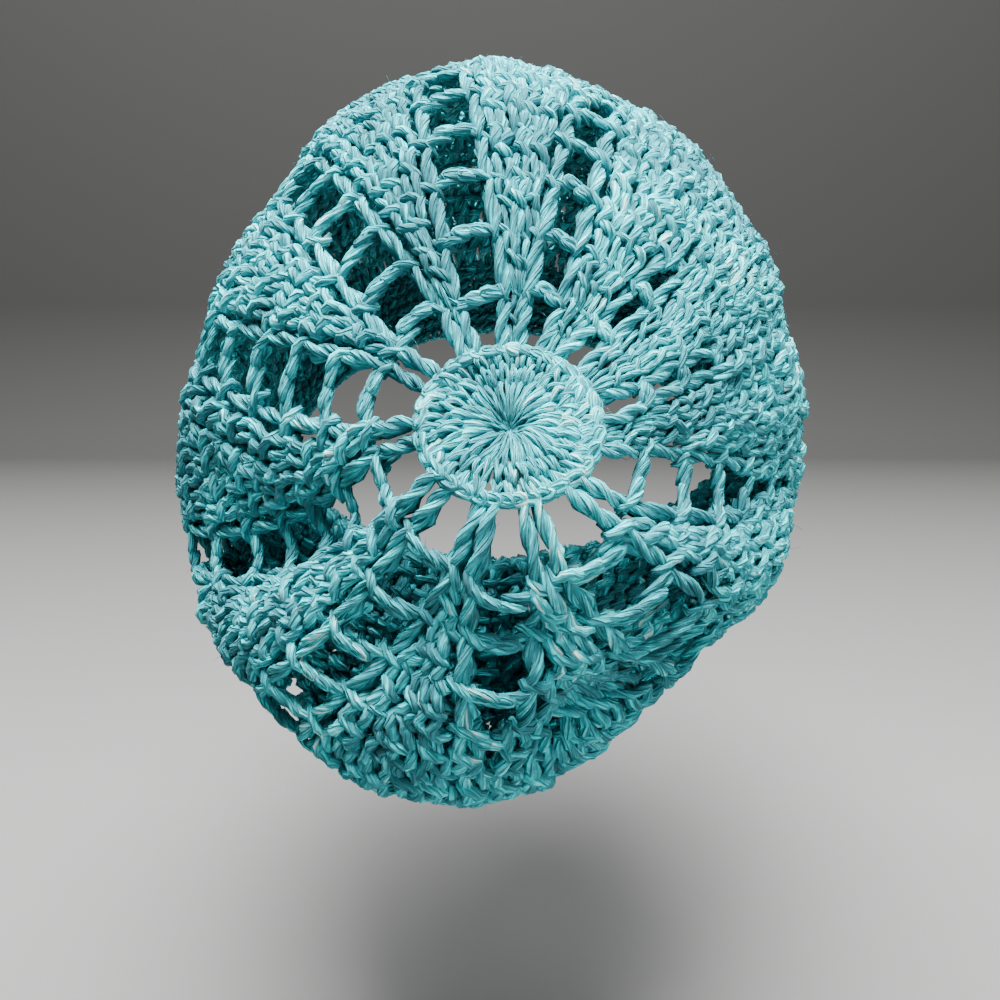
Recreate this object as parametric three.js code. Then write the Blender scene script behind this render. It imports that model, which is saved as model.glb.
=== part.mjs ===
// Crochet hat: a close-stitched disc at the back of the head, eleven gores with a ladder of open loops
// between each two, a slouch that folds under into a pouch, and a close band round the head.
// Millimetres, +Z up, +Y towards the wearer's face, origin in the middle of the head opening.
import * as THREE from 'three';

// Rounds of the work, counted from the middle of the disc
const LADDERS = 11;
const DISC_ROUNDS = 2;
const MESH_ROUNDS = 12;
const CROWN_ROUNDS = 17;
const ROUNDS = 20;

// Fabric
const WALL = 3.6;
const SEAM_GAP = 0.3;
const CHAIN_HALF = 0.17;          // half height of a chain between two gaps, in rounds
const GAP_HALF_START = 0.24;      // half width of a gap in round 3, in ladder spacings
const GAP_HALF_LEAST = 0.08;
const GAP_NARROWING = 0.4;        // how fast the gaps narrow against the growing gores, a round
const GORE_CELLS = 5;

// Disc
const POLE = new THREE.Vector3(2, -110, 43);
const DISC_RADIUS = 20;
const DISC_TILT = THREE.MathUtils.degToRad(50);
const DISC_RIGHT = new THREE.Vector3(1, 0, 0);
const DISC_RISE = new THREE.Vector3(0, Math.sin(DISC_TILT), Math.cos(DISC_TILT));
const DISC_NORMAL = new THREE.Vector3(0, -Math.cos(DISC_TILT), Math.sin(DISC_TILT));

// Head that the crown is drawn over, and the oval edge of the band
const UP = new THREE.Vector3(0, 0, 1);
const HEAD_CENTRE = new THREE.Vector3(0, -4, 25);
const HEAD_HALF = new THREE.Vector3(80.5, 97, 92);
const RIM_HALF_X = 72;
const RIM_HALF_Y = 84;
const RIM_HALF_RISE = 30;         // the edge is this much higher at the brow and lower at the nape
const BAND_HEIGHT = 34;
const BAND_TURN = 8;              // height of the turn from the pouch's inner wall into the band
const FOLD_LIFT = 1.5;
// Fold, inner wall, turn and band, as shares of the way from the lowest fold to the edge
const POUCH_SHARES = [0.32, 0.57, 0.78, 1];
const PLAIN_SHARES = [0.2, 0.4, 0.6, 0.8];    // the same four places where there is no pouch
const PUFF_FROM = new THREE.Vector3(0, -54, 37);
const FACE_FROM = new THREE.Vector3(0, -4, 12);

// One row a ladder, from the nape anticlockwise as seen from behind. bearing: where it leaves the disc.
// sx sy sz: where it turns over the shoulder of the hat, in round sRound. hx hy hz: its lowest fold, in
// round hRound. slouch: 1 where the fabric folds under into a pouch, 0 or less where it runs straight on.
// rim: its bearing on the edge. bulge, sag: how the back face swells and hangs. first: height of round 3.
// puff: how far the gore after it swells.
const LADDER_COLUMNS = ['bearing', 'sx', 'sy', 'sz', 'sRound', 'hx', 'hy', 'hz', 'hRound', 'slouch', 'rim',
  'bulge', 'sag', 'first', 'puff'];
const LADDER_ROWS = [
  [270, -3, -124, -39, 7.3, -3.5, -119, -47, 7.9, 1, -92, 7, 0, 19, 0],
  [294, 48, -98, -16, 6.5, 50, -92, -22, 7.1, 1, -52, 9, -4, 15, 5],
  [328, 81, -54, 12, 8, 83, -16, -10, 10.9, 0.62, -8, 5, -3, 12.5, 1],
  [368, 75, -48, 54, 8, 78, 28, 28, 15, -0.4, 22, 5, 0, 12.5, 1],
  [410, 60, -45, 82, 7.4, 60, 64, 44, 16.5, 0, 46, 6, 0, 13, 1],
  [436, 24, -44, 108, 7.4, 28, 84, 52, 17, 0, 72, 7, 0, 13, 1],
  [462, -14.4, -46, 114, 7.5, -19, 86, 54, 17, 0, 102, 7, 0, 13, 1],
  [489, -51, -45, 90, 7.6, -53, 69, 46, 16.5, 0, 129, 6, 0, 13, 1],
  [525, -80.5, -48, 49, 8.4, -78, 28, 28, 15, -0.4, 154, 5, -3, 12.5, 1],
  [565, -88.5, -54, -9, 8.8, -86, -12, -21, 11.2, 0.62, 186, 4, -9, 12.5, 0],
  [604, -54.5, -104, -30, 7.3, -56, -98, -37, 7.9, 1, 227, 6, -5, 14, 0.5],
];
const TURN = { bearing: 360, rim: 360 };

// Folds and swellings. u: ladder place, n: round, before and after: widths in ladder spacings,
// rounds: height in rounds, depth: millimetres outwards.
const FOLDS = [
  { u: 0.45, n: 6.4, before: 0.22, after: 0.55, rounds: 1.5, depth: -9 },    // tuck right of the nape
  { u: 1.2, n: 4.6, before: 0.6, after: 0.6, rounds: 1.3, depth: 5 },        // swelling right below the disc
  { u: 0.15, n: 3.8, before: 0.6, after: 0.5, rounds: 0.5, depth: -5 },      // valley under the long loops
  { u: 9, n: 5.6, before: 0.3, after: 0.22, rounds: 2.2, depth: -6 },        // valley along the left ladder
  { u: 9.55, n: 6.4, before: 0.4, after: 0.4, rounds: 2, depth: 4 },         // lobe at the lower left
  { u: 10.35, n: 4.6, before: 0.35, after: 0.35, rounds: 1.3, depth: -5 },   // tuck left of the nape
];
const FOLD_FADE = 1.4;            // rounds above the lowest fold over which the folds flatten out

// Fineness of the worked-out surface
const SAMPLES = 200;
const HEAD_KNOTS = 3;
const EASE_REACH = 5;
const EASE_PASSES = 3;
const U_STEPS = 24;
const N_STEPS = 8;

const smooth = (t) => THREE.MathUtils.smoothstep(t, 0, 1);
const vector = (x, y, z) => new THREE.Vector3(x, y, z);

// A ladder column's value between the ladders, on a closed smooth curve.
function around(name, u) {
  const index = LADDER_COLUMNS.indexOf(name);
  const first = Math.floor(u);
  const f = u - first;
  const value = (k) => {
    const lap = Math.floor(k / LADDERS);
    return LADDER_ROWS[k - lap * LADDERS][index] + lap * (TURN[name] ?? 0);
  };
  const [a, b, c, d] = [value(first - 1), value(first), value(first + 1), value(first + 2)];
  return b + 0.5 * f * (c - a + f * (2 * a - 5 * b + 4 * c - d + f * (3 * (b - c) + d - a)));
}

function headRadius(direction) {
  return 1 / direction.clone().divide(HEAD_HALF).length();
}

// Points of one line down the hat, from the disc's middle to the edge of the band, as knots.
function meridianKnots(u) {
  const at = (name) => around(name, u);
  const gore = ((Math.floor(u) % LADDERS) + LADDERS) % LADDERS;
  const fullest = LADDER_ROWS[gore][LADDER_COLUMNS.indexOf('puff')];
  const puff = fullest * Math.sin(Math.PI * (u - Math.floor(u))) ** 2;
  const swell = (p) => p.addScaledVector(p.clone().sub(PUFF_FROM).normalize(), puff);
  const shoulder = swell(vector(at('sx'), at('sy'), at('sz')));
  const hem = swell(vector(at('hx'), at('hy'), at('hz')));
  const slouch = THREE.MathUtils.clamp(at('slouch'), 0, 1);

  const bearing = THREE.MathUtils.degToRad(at('bearing'));
  const outward = DISC_RIGHT.clone().multiplyScalar(Math.cos(bearing));
  outward.addScaledVector(DISC_RISE, Math.sin(bearing));
  const edge = POLE.clone().addScaledVector(outward, DISC_RADIUS);
  const knots = [POLE.clone(), POLE.clone().addScaledVector(outward, DISC_RADIUS / 2), edge];

  const face = edge.clone().add(shoulder).multiplyScalar(0.5).sub(FACE_FROM).normalize();
  for (const v of [0.33, 0.67]) {
    const arch = 4 * v * (1 - v);
    const knot = edge.clone().lerp(shoulder, v);
    knot.addScaledVector(face, at('bulge') * arch).addScaledVector(UP, at('sag') * arch);
    knots.push(knot);
  }
  const shoulderKnot = knots.length;
  knots.push(shoulder);

  const from = shoulder.clone().sub(HEAD_CENTRE);
  const to = hem.clone().sub(HEAD_CENTRE);
  const fromShare = from.length() / headRadius(from.clone().normalize());
  const toShare = to.length() / headRadius(to.clone().normalize());
  from.normalize();
  to.normalize();
  const angle = from.angleTo(to) + 1e-6;
  for (let k = 1; k <= HEAD_KNOTS; k++) {
    const v = k / (HEAD_KNOTS + 1);
    const direction = from.clone().multiplyScalar(Math.sin((1 - v) * angle));
    direction.addScaledVector(to, Math.sin(v * angle)).normalize();
    const share = toShare + (fromShare - toShare) * (1 - v) ** 3;
    knots.push(HEAD_CENTRE.clone().addScaledVector(direction, headRadius(direction) * share));
  }
  const hemKnot = knots.length;
  knots.push(hem);

  const rimBearing = THREE.MathUtils.degToRad(at('rim'));
  const rimOut = vector(Math.cos(rimBearing), Math.sin(rimBearing), 0);
  const rim = vector(RIM_HALF_X * rimOut.x, RIM_HALF_Y * rimOut.y, RIM_HALF_RISE * rimOut.y);
  const turnHeight = rim.z + BAND_HEIGHT;
  const pouchHeights = [hem.z + FOLD_LIFT, turnHeight - BAND_TURN, turnHeight, turnHeight - BAND_TURN];
  POUCH_SHARES.forEach((share, k) => {
    const pouch = hem.clone().lerp(rim, share).setZ(pouchHeights[k]);
    knots.push(hem.clone().lerp(rim, PLAIN_SHARES[k]).lerp(pouch, slouch));
  });
  knots.push(rim);
  return { knots, shoulderKnot, hemKnot };
}

function arcLengths(points) {
  const arcs = [0];
  for (let i = 1; i < points.length; i++) {
    arcs.push(arcs[i - 1] + points[i].distanceTo(points[i - 1]));
  }
  return arcs;
}

// Linear lookup: the value at x of a rising table xs, with values ys.
function lookup(x, xs, ys) {
  let i = 1;
  while (i < xs.length - 1 && xs[i] < x) i++;
  const t = THREE.MathUtils.clamp((x - xs[i - 1]) / (xs[i] - xs[i - 1]), 0, 1);
  return ys[i - 1] + (ys[i] - ys[i - 1]) * t;
}

function pointAt(fraction, points) {
  const place = THREE.MathUtils.clamp(fraction, 0, 1) * (points.length - 1);
  const i = Math.min(Math.floor(place), points.length - 2);
  return points[i].clone().lerp(points[i + 1], place - i);
}

function evenly(points) {
  const arcs = arcLengths(points);
  const total = arcs[arcs.length - 1];
  const indices = points.map((_, i) => i / (points.length - 1));
  return points.map((_, i) => pointAt(lookup((total * i) / (points.length - 1), arcs, indices), points));
}

// Rounds the kinks of an evenly spaced line; its two ends stay.
function ease(points) {
  const last = points.length - 1;
  const reflected = (i) => {
    if (i < 0) return points[0].clone().multiplyScalar(2).sub(points[-i]);
    if (i > last) return points[last].clone().multiplyScalar(2).sub(points[2 * last - i]);
    return points[i];
  };
  return points.map((_, i) => {
    const sum = vector(0, 0, 0);
    for (let k = -EASE_REACH; k <= EASE_REACH; k++) sum.add(reflected(i + k));
    return sum.multiplyScalar(1 / (2 * EASE_REACH + 1));
  });
}

// The same line as a function of the round number.
function meridian(u) {
  const { knots, shoulderKnot, hemKnot } = meridianKnots(u);
  const curve = new THREE.CatmullRomCurve3(knots, false, 'centripetal');
  const raw = [];
  for (let i = 0; i < SAMPLES; i++) raw.push(curve.getPoint(i / (SAMPLES - 1)));
  const rawArcs = arcLengths(raw);
  const rawTotal = rawArcs[SAMPLES - 1];
  const indices = raw.map((_, i) => i / (SAMPLES - 1));
  const shareAt = (knot) => lookup(knot / (knots.length - 1), indices, rawArcs) / rawTotal;
  let points = evenly(raw);
  for (let pass = 0; pass < EASE_PASSES; pass++) points = ease(points);
  const arcs = arcLengths(points);
  const total = arcs[SAMPLES - 1];
  const rounds = [0, DISC_ROUNDS, DISC_ROUNDS + 1, around('sRound', u), around('hRound', u), ROUNDS];
  const places = [0, DISC_RADIUS, DISC_RADIUS + around('first', u), shareAt(shoulderKnot) * total,
    shareAt(hemKnot) * total, total];
  return (n) => pointAt(lookup(lookup(n, rounds, places), arcs, indices), points);
}

// The middle of the fabric on a close grid of ladder places and rounds, with its outward normals.
const U_COUNT = LADDERS * U_STEPS;
const N_COUNT = ROUNDS * N_STEPS + 1;

function gridNormals(grid) {
  return grid.map((line, i) => line.map((_, j) => {
    if (j === 0) return DISC_NORMAL.clone();
    const across = grid[(i + 1) % U_COUNT][j].clone().sub(grid[(i + U_COUNT - 1) % U_COUNT][j]);
    const down = line[Math.min(j + 1, N_COUNT - 1)].clone().sub(line[j - 1]);
    return down.cross(across).normalize();
  }));
}

function foldDepth(u, n) {
  let depth = 0;
  for (const fold of FOLDS) {
    const du = THREE.MathUtils.euclideanModulo(u - fold.u + LADDERS / 2, LADDERS) - LADDERS / 2;
    const width = du < 0 ? fold.before : fold.after;
    depth += fold.depth * Math.exp(-((du / width) ** 2) - ((n - fold.n) / fold.rounds) ** 2);
  }
  return depth * smooth((around('hRound', u) - n) / FOLD_FADE);
}

function fabricGrid() {
  const flat = [];
  for (let i = 0; i < U_COUNT; i++) {
    const line = meridian(i / U_STEPS);
    flat.push(Array.from({ length: N_COUNT }, (_, j) => line(j / N_STEPS)));
  }
  const outward = gridNormals(flat);
  const points = flat.map((line, i) => line.map((p, j) => (
    p.clone().addScaledVector(outward[i][j], foldDepth(i / U_STEPS, j / N_STEPS))
  )));
  return { points, normals: gridNormals(points) };
}

const FABRIC = fabricGrid();

function blended(table, u, n) {
  const x = THREE.MathUtils.euclideanModulo(u, LADDERS) * U_STEPS;
  const i = Math.floor(x) % U_COUNT;
  const y = THREE.MathUtils.clamp(n, 0, ROUNDS) * N_STEPS;
  const j = Math.min(Math.floor(y), N_COUNT - 2);
  const next = (i + 1) % U_COUNT;
  const near = table[i][j].clone().lerp(table[next][j], x - Math.floor(x));
  const far = table[i][j + 1].clone().lerp(table[next][j + 1], x - Math.floor(x));
  return near.lerp(far, y - j);
}

// A place on the fabric, moved a few tenths of a millimetre along the line down the hat.
function fabricAt(u, n, shift) {
  const step = 0.5 / N_STEPS;
  const above = blended(FABRIC.points, u, n - step);
  const below = blended(FABRIC.points, u, n + step);
  const roundHeight = above.distanceTo(below) / (2 * step);
  const moved = shift === 0 ? n : n + shift / roundHeight;
  return { point: blended(FABRIC.points, u, moved), normal: blended(FABRIC.normals, u, moved).normalize() };
}

function gapHalf(n) {
  const grown = Math.max(n - DISC_ROUNDS - 1, 0);
  return Math.max(GAP_HALF_START / (1 + GAP_NARROWING * grown), GAP_HALF_LEAST);
}

// Ladder places of the columns at round n: each ladder's gap is one cell wide, then the gore's cells.
const CELLS = GORE_CELLS + 1;

function columnPlace(column, n) {
  const ladder = Math.floor(column / CELLS);
  const cell = column % CELLS;
  const half = gapHalf(n);
  if (cell === 0) return ladder - half;
  return ladder + half + ((1 - 2 * half) * (cell - 1)) / GORE_CELLS;
}

// A closed wall of fabric between its rows, each { n, shift, gapBelow }. A row at the disc's middle is one
// point. gapBelow leaves the ladder's cell between this row and the next one open.
function fabricWall(rows) {
  const columns = LADDERS * CELLS;
  const positions = [];
  const outer = [];
  const inner = [];
  const addVertex = (p) => {
    positions.push(p.x, p.y, p.z);
    return positions.length / 3 - 1;
  };
  for (const row of rows) {
    const outerRow = [];
    const innerRow = [];
    for (let c = 0; c < columns; c++) {
      if (row.n === 0 && c > 0) {
        outerRow.push(outerRow[0]);
        innerRow.push(innerRow[0]);
        continue;
      }
      const { point, normal } = fabricAt(columnPlace(c, row.n), row.n, row.shift);
      outerRow.push(addVertex(point.clone().addScaledVector(normal, WALL / 2)));
      innerRow.push(addVertex(point.clone().addScaledVector(normal, -WALL / 2)));
    }
    outer.push(outerRow);
    inner.push(innerRow);
  }

  const indices = [];
  const face = (a, b, c, d) => {
    if (a !== b && b !== c && a !== c) indices.push(a, b, c);
    if (a !== c && c !== d && a !== d) indices.push(a, c, d);
  };
  const isOpen = (r, c) => r < 0 || r >= rows.length - 1 || (rows[r].gapBelow && c % CELLS === 0);
  for (let r = 0; r < rows.length - 1; r++) {
    for (let c = 0; c < columns; c++) {
      if (isOpen(r, c)) continue;
      const right = (c + 1) % columns;
      const left = (c + columns - 1) % columns;
      const [o0, o1, o2, o3] = [outer[r][c], outer[r + 1][c], outer[r + 1][right], outer[r][right]];
      const [i0, i1, i2, i3] = [inner[r][c], inner[r + 1][c], inner[r + 1][right], inner[r][right]];
      face(o0, o1, o2, o3);
      face(i0, i3, i2, i1);
      if (isOpen(r - 1, c) && rows[r].n > 0) face(o0, o3, i3, i0);
      if (isOpen(r + 1, c)) face(o1, i1, i2, o2);
      if (isOpen(r, left)) face(o0, i0, i1, o1);
      if (isOpen(r, right)) face(o3, o2, i2, i3);
    }
  }
  const geometry = new THREE.BufferGeometry();
  geometry.setAttribute('position', new THREE.Float32BufferAttribute(positions, 3));
  geometry.setIndex(indices);
  geometry.computeVertexNormals();
  return geometry;
}

const row = (n, shift = 0, gapBelow = false) => ({ n, shift, gapBelow });

// Rows from one seam to the next, evenly spaced, pulled back at each seam by half the gap.
function plainRows(from, to, count) {
  const rows = [];
  for (let k = 0; k <= count; k++) rows.push(row(from + ((to - from) * k) / count));
  if (from > 0) rows[0].shift = SEAM_GAP / 2;
  if (to < ROUNDS) rows[count].shift = -SEAM_GAP / 2;
  return rows;
}

// Each round of the open part has a row of gaps with a chain above and below it.
function meshRows() {
  const rows = [row(DISC_ROUNDS, SEAM_GAP / 2)];
  for (let n = DISC_ROUNDS; n < MESH_ROUNDS; n++) {
    rows.push(row(n + CHAIN_HALF, 0, true));
    rows.push(row(n + 1 - CHAIN_HALF));
  }
  rows.push(row(MESH_ROUNDS, -SEAM_GAP / 2));
  return rows;
}

const yarn = (color) => new THREE.MeshStandardMaterial({ color, roughness: 0.9, metalness: 0 });

const PIECES = [
  { name: 'centre_disc', rows: plainRows(0, DISC_ROUNDS, 3), color: 0x9fd0cd },
  { name: 'mesh_crown', rows: meshRows(), color: 0x5fa9ab },
  { name: 'lower_crown', rows: plainRows(MESH_ROUNDS, CROWN_ROUNDS, 10), color: 0x559fa2 },
  { name: 'head_band', rows: plainRows(CROWN_ROUNDS, ROUNDS, 4), color: 0x4a9195 },
];

const hat = new THREE.Group();
for (const piece of PIECES) {
  const mesh = new THREE.Mesh(fabricWall(piece.rows), yarn(piece.color));
  mesh.name = piece.name;
  hat.add(mesh);
}

export default hat;
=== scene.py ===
"""A slouchy crochet hat, worked stitch by stitch in heathered cotton yarn.

Every stitch is made of strands of yarn that follow the rounds of the hat: double stitches with two legs, a
wrap and a link on top, chains over the gaps of the ladders, and single stitches in the head band.
"""

import math

import bmesh
import bpy
import numpy as np
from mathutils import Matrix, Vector


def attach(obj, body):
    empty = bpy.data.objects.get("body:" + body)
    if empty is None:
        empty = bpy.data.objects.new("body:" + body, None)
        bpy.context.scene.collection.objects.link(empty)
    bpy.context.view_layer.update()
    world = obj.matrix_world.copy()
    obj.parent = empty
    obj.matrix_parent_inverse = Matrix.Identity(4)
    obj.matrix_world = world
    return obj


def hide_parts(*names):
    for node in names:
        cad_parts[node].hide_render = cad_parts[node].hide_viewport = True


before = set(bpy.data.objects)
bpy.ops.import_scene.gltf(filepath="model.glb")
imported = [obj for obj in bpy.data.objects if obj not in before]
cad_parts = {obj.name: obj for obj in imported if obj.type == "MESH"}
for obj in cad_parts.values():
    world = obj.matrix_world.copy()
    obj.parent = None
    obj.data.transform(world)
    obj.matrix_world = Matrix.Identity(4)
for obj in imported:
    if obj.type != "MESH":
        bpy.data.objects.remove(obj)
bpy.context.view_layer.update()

bl_info = {
    "name": "Crochet Hat",
    "version": (1, 0, 0),
    "blender": (4, 5, 0),
    "location": "View3D > Sidebar > Crochet Hat",
    "description": "Works a slouchy crochet hat stitch by stitch round its carrier surface",
    "category": "Add Mesh",
}

MM = 0.001
TINY = 1e-6

# Rounds of the work, counted from the middle of the disc
LADDERS = 11
DISC_ROUNDS = 2
CROWN_ROUNDS = 17
ROUNDS = 20
GORE_MOST = 9
ROPE_ROUNDS = 9
# Pieces made of whole rounds: name, first round and last round
MESH_PIECES = (("mesh_rounds_inner", 3, 6), ("mesh_rounds_middle", 7, 9), ("mesh_rounds_outer", 10, 12))
PLAIN_PIECES = (("plain_rounds_upper", 13, 15), ("plain_rounds_lower", 16, 17))
RING_STITCHES = 17
DISC_EDGE_STITCHES = 34
BAND_ROWS = 6
BAND_STITCHES = 10

# Gaps of the ladders, in ladder spacings
GAP_HALF_START = 0.24
GAP_HALF_LEAST = 0.08
GAP_NARROWING = 0.4
# How far the work is drawn open at each ladder, from the nape anticlockwise as seen from behind
GAP_SHARES = np.array([0.95, 1.1, 1.15, 0.15, 0.25, 0.7, 1.2, 1.2, 1.15, 1.15, 0.9])
# Round from which the slouch or the stretch draws each ladder's gaps nearly shut
GAP_SHUT = np.array([5.0, 6.0, 5.5, 4.0, 4.0, 8.5, 12.0, 10.5, 10.5, 10.5, 9.0])
# Share of each gap that stays open after that, and the rounds that the change takes
GAP_SHUT_SHARES = np.array([0.0, 0.2, 0.3, 0.35, 0.35, 0.35, 0.35, 0.35, 0.35, 0.35, 0.35])
GAP_SHUT_REACH = 2.0
# Stitches that each gore has beyond the usual number in its first rounds, and how many rounds
GORE_EXTRA = np.array([0, 0, 2, 3, 2, 1, 0, 0, 0, 0, 0])
GORE_EXTRA_ROUNDS = 5
# Share of the disc's edge that a gore's first stitches stand on
FIRST_SPREAD = 0.62

# Share of a gore that the feet of its stitches fill, and how far the feet move to whole stitches below
FOOT_SHARE = 0.9
FOOT_SNAP = 0.7

# Chains: links in each, and how far the ends reach into the stitches beside the gap, in stitch widths, and
# sink, in millimetres, from a share of the half width on
CHAIN_LINKS = 3
CHAIN_TUCK = 0.35
CHAIN_SINK = 1.7
CHAIN_SINK_FROM = 0.8
CHAIN_SINK_REACH = 0.5
# How wide links spread up the fabric and out of it, and how far out they lie, in millimetres
CHAIN_SPREAD = (0.85, 0.3, 0.2)
EDGE_SPREAD = (0.9, 0.3, 0.3)
# Round at which the chain round the disc's edge lies
EDGE_ROUND = 1.93

# Disc, in millimetres
POLE = np.array([2.0, -110.0, 43.0])
DISC_RADIUS = 20.0
DISC_TILT = math.radians(50.0)
DISC_RIGHT = np.array([1.0, 0.0, 0.0])
DISC_RISE = np.array([0.0, math.sin(DISC_TILT), math.cos(DISC_TILT)])
DISC_NORMAL = np.array([0.0, -math.cos(DISC_TILT), math.sin(DISC_TILT)])

# Oval that the crown is drawn over, and the oval edge of the band, in millimetres
UP = np.array([0.0, 0.0, 1.0])
CROWN_CENTRE = np.array([0.0, -4.0, 25.0])
CROWN_HALF = np.array([80.5, 97.0, 92.0])
RIM_HALF = np.array([72.0, 84.0, 30.0])
BAND_HEIGHT = 34.0
BAND_TURN = 8.0
FOLD_LIFT = 1.5
POUCH_SHARES = (0.32, 0.57, 0.78, 1.0)
PLAIN_SHARES = (0.2, 0.4, 0.6, 0.8)
PUFF_FROM = np.array([0.0, -54.0, 37.0])
FACE_FROM = np.array([0.0, -4.0, 12.0])
# Slightly aside from up, so that no strand's first direction lies along it
SIDE_FROM = UP + 0.01
BULGE_SHARES = (0.33, 0.67)

# One row a ladder, from the nape anticlockwise as seen from behind, in millimetres, degrees and rounds
LADDER_COLUMNS = (
    "bearing", "sx", "sy", "sz", "s_round", "hx", "hy", "hz", "h_round", "slouch", "rim", "bulge", "sag",
    "first", "puff",
)
LADDER_ROWS = np.array([
    [270, -3, -124, -39, 7.3, -3.5, -119, -47, 7.9, 1, -92, 7, 0, 19, 0],
    [294, 48, -98, -16, 6.5, 50, -92, -22, 7.1, 1, -52, 9, -4, 15, 5],
    [328, 81, -54, 12, 8, 83, -16, -10, 10.9, 0.62, -8, 5, -3, 12.5, 1],
    [368, 75, -48, 54, 8, 78, 28, 28, 15, -0.4, 22, 5, 0, 12.5, 1],
    [410, 60, -45, 82, 7.4, 60, 64, 44, 16.5, 0, 46, 6, 0, 13, 1],
    [436, 24, -44, 108, 7.4, 28, 84, 52, 17, 0, 72, 7, 0, 13, 1],
    [462, -14.4, -46, 114, 7.5, -19, 86, 54, 17, 0, 102, 7, 0, 13, 1],
    [489, -51, -45, 90, 7.6, -53, 69, 46, 16.5, 0, 129, 6, 0, 13, 1],
    [525, -80.5, -48, 49, 8.4, -78, 28, 28, 15, -0.4, 154, 5, -3, 12.5, 1],
    [565, -88.5, -54, -9, 8.8, -86, -12, -21, 11.2, 0.62, 186, 4, -9, 12.5, 0],
    [604, -54.5, -104, -30, 7.3, -56, -98, -37, 7.9, 1, 227, 6, -5, 14, 0.5],
])
FULL_TURN = {"bearing": 360.0, "rim": 360.0}

# Folds and swellings: ladder place, round, widths before and after in ladder spacings, height in rounds,
# depth outwards in millimetres
FOLD_COLUMNS = ("u", "n", "before", "after", "rounds", "depth")
FOLD_ROWS = (
    (0.45, 6.4, 0.22, 0.55, 1.5, -9.0),
    (1.2, 4.6, 0.6, 0.6, 1.3, 5.0),
    (0.15, 3.8, 0.6, 0.5, 0.5, -5.0),
    (9.0, 5.6, 0.3, 0.22, 2.2, -6.0),
    (9.55, 6.4, 0.4, 0.4, 2.0, 4.0),
    (10.35, 4.6, 0.35, 0.35, 1.3, -5.0),
)
FOLD_FADE = 1.4

# Fineness of the worked-out surface
SAMPLES = 200
CROWN_KNOTS = 3
EASE_REACH = 5
EASE_PASSES = 3
U_STEPS = 24
N_STEPS = 8
# Steps over which the surface is measured, in ladder spacings and in rounds
U_MEASURE = 0.05
N_MEASURE = 0.25

# Fineness of the strands: rings along each, and corners round it
FINE_STRAND = (7, 8)
PLAIN_STRAND = (6, 6)
SHORT_STRAND = (5, 6)
HIDDEN_STRAND = (4, 5)
ROPE_STRAND = (13, 8)
FINE_LINK = (13, 8)
PLAIN_LINK = (11, 6)
RING_STRAND = (12, 8)
HEAD_STRAND = (8, 8)
RING_UNDER_STRAND = (6, 6)
HEAD_UNDER_STRAND = (5, 5)
# Last round that is seen closely enough for fine strands
FINE_ROUNDS = 9

# Thickness of some strands against the yarn, and the range that a strand's room gives it
LOOP_THICKNESS = 0.9
BACK_THICKNESS = 1.25
SHORT_BACK_THICKNESS = 1.2
ROPE_THICKNESS = 0.9
RING_UNDER_THICKNESS = 1.6
HEAD_UNDER_THICKNESS = 2.2
FIT_LEAST = 0.45
RING_FIT_LEAST = 0.3
RING_UNDER_FIT_LEAST = 0.6
FIT_MOST = 1.22

# Posts of two strands: foot and top in stitch heights, turns, and how far out they lie, how far their ends
# sink and how much higher they count as lying for the painted shade and the loose fibres, in millimetres
ROPE_UP = (-0.14, 1.04)
FIRST_ROPE_TURNS = 1.0
ROPE_TURNS = 0.7
ROPE_OUT = 0.3
ROPE_SINK = 1.6
ROPE_SHADE = 0.6

# How unlike each other the stitches are, as spreads of the random draws: points of strands and links (across
# in stitch widths, up in rounds, out in millimetres), and then whole stitches
STRAND_SPREAD = np.array([0.08, 0.035, 0.28])
LINK_SPREAD = np.array([0.05, 0.12, 0.2])
LEAN_SPREAD = 0.22
OUT_SPREAD = 0.35
THICKNESS_SPREAD = 0.07
PLACE_SPREAD = 0.05
BOW_SPREAD = 0.06
STRAND_TONE_SPREAD = 0.2
# How much of that the disc's stitches keep
RING_OUT_SHARE = 0.6
EDGE_LEAN_SHARE = 0.5
# Slow waves of tone along the yarn: change over a ladder spacing, change over a round, start
TONE_WAVES = ((2.3, 1.7, 0.0), (5.1, -0.9, 1.0))
# Millimetres of yarn over which the strands start on their map
MAP_START = 4000.0

# Loose fibres, in millimetres: least height to stand on, lengths, half thickness, depth of the root, height
# they count as lying at for the painted shade, spread of the curl and tones
FUZZ_FROM = 0.5
FUZZ_LENGTHS = (1.2, 4.0)
FUZZ_RADIUS = 0.05
FUZZ_ROOT = 0.2
FUZZ_SHADE = 1.0
FUZZ_CURL = 0.5
FUZZ_TONES = (0.0, 2.0)
FUZZ_SIDES = 3
# Points of a fibre beyond its root, in shares of its length: out of the strand, aside and curled
FUZZ_POINTS = ((0.30, 0.15, 0.0), (0.45, 0.50, 0.15), (0.40, 0.80, 0.45))
DISC_FUZZ = 300
MESH_FUZZ = 900
PLAIN_FUZZ = 600

# Yarn material: the middle of its ramp of tones, what each layer adds, the scales of the noises, the places
# of the ramp's five colours, and the painted shade between plies and down in the fabric, from and to
TONE_MIDDLE = 0.46
PLY_SHARE = 1.9
FIBRE_SHARE = 1.1
STITCH_SHARE = 0.15
PATCH_SHARE = 0.75
GRAIN_SHARE = 0.25
PATCH_SCALE = 30.0
GRAIN_SCALE = 900.0
RAMP_PLACES = (0.22, 0.45, 0.66, 0.84, 1.0)
CREST_RANGE = (0.0, 0.55)
GROOVE_PAINTED_SHADES = (0.3, 1.0)
DEPTH_RANGE = (-1.8, 0.8)
DEPTH_PAINTED_SHADES = (0.48, 1.0)
YARN_SPECULAR = 0.08
SHEEN_ROUGHNESS = 0.5
# Plies: scale of their wander, distance of their tones on the noise, and threads in each
WANDER_SCALE = 1.6
PLY_APART = 7.3
THREADS = 2.6
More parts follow.
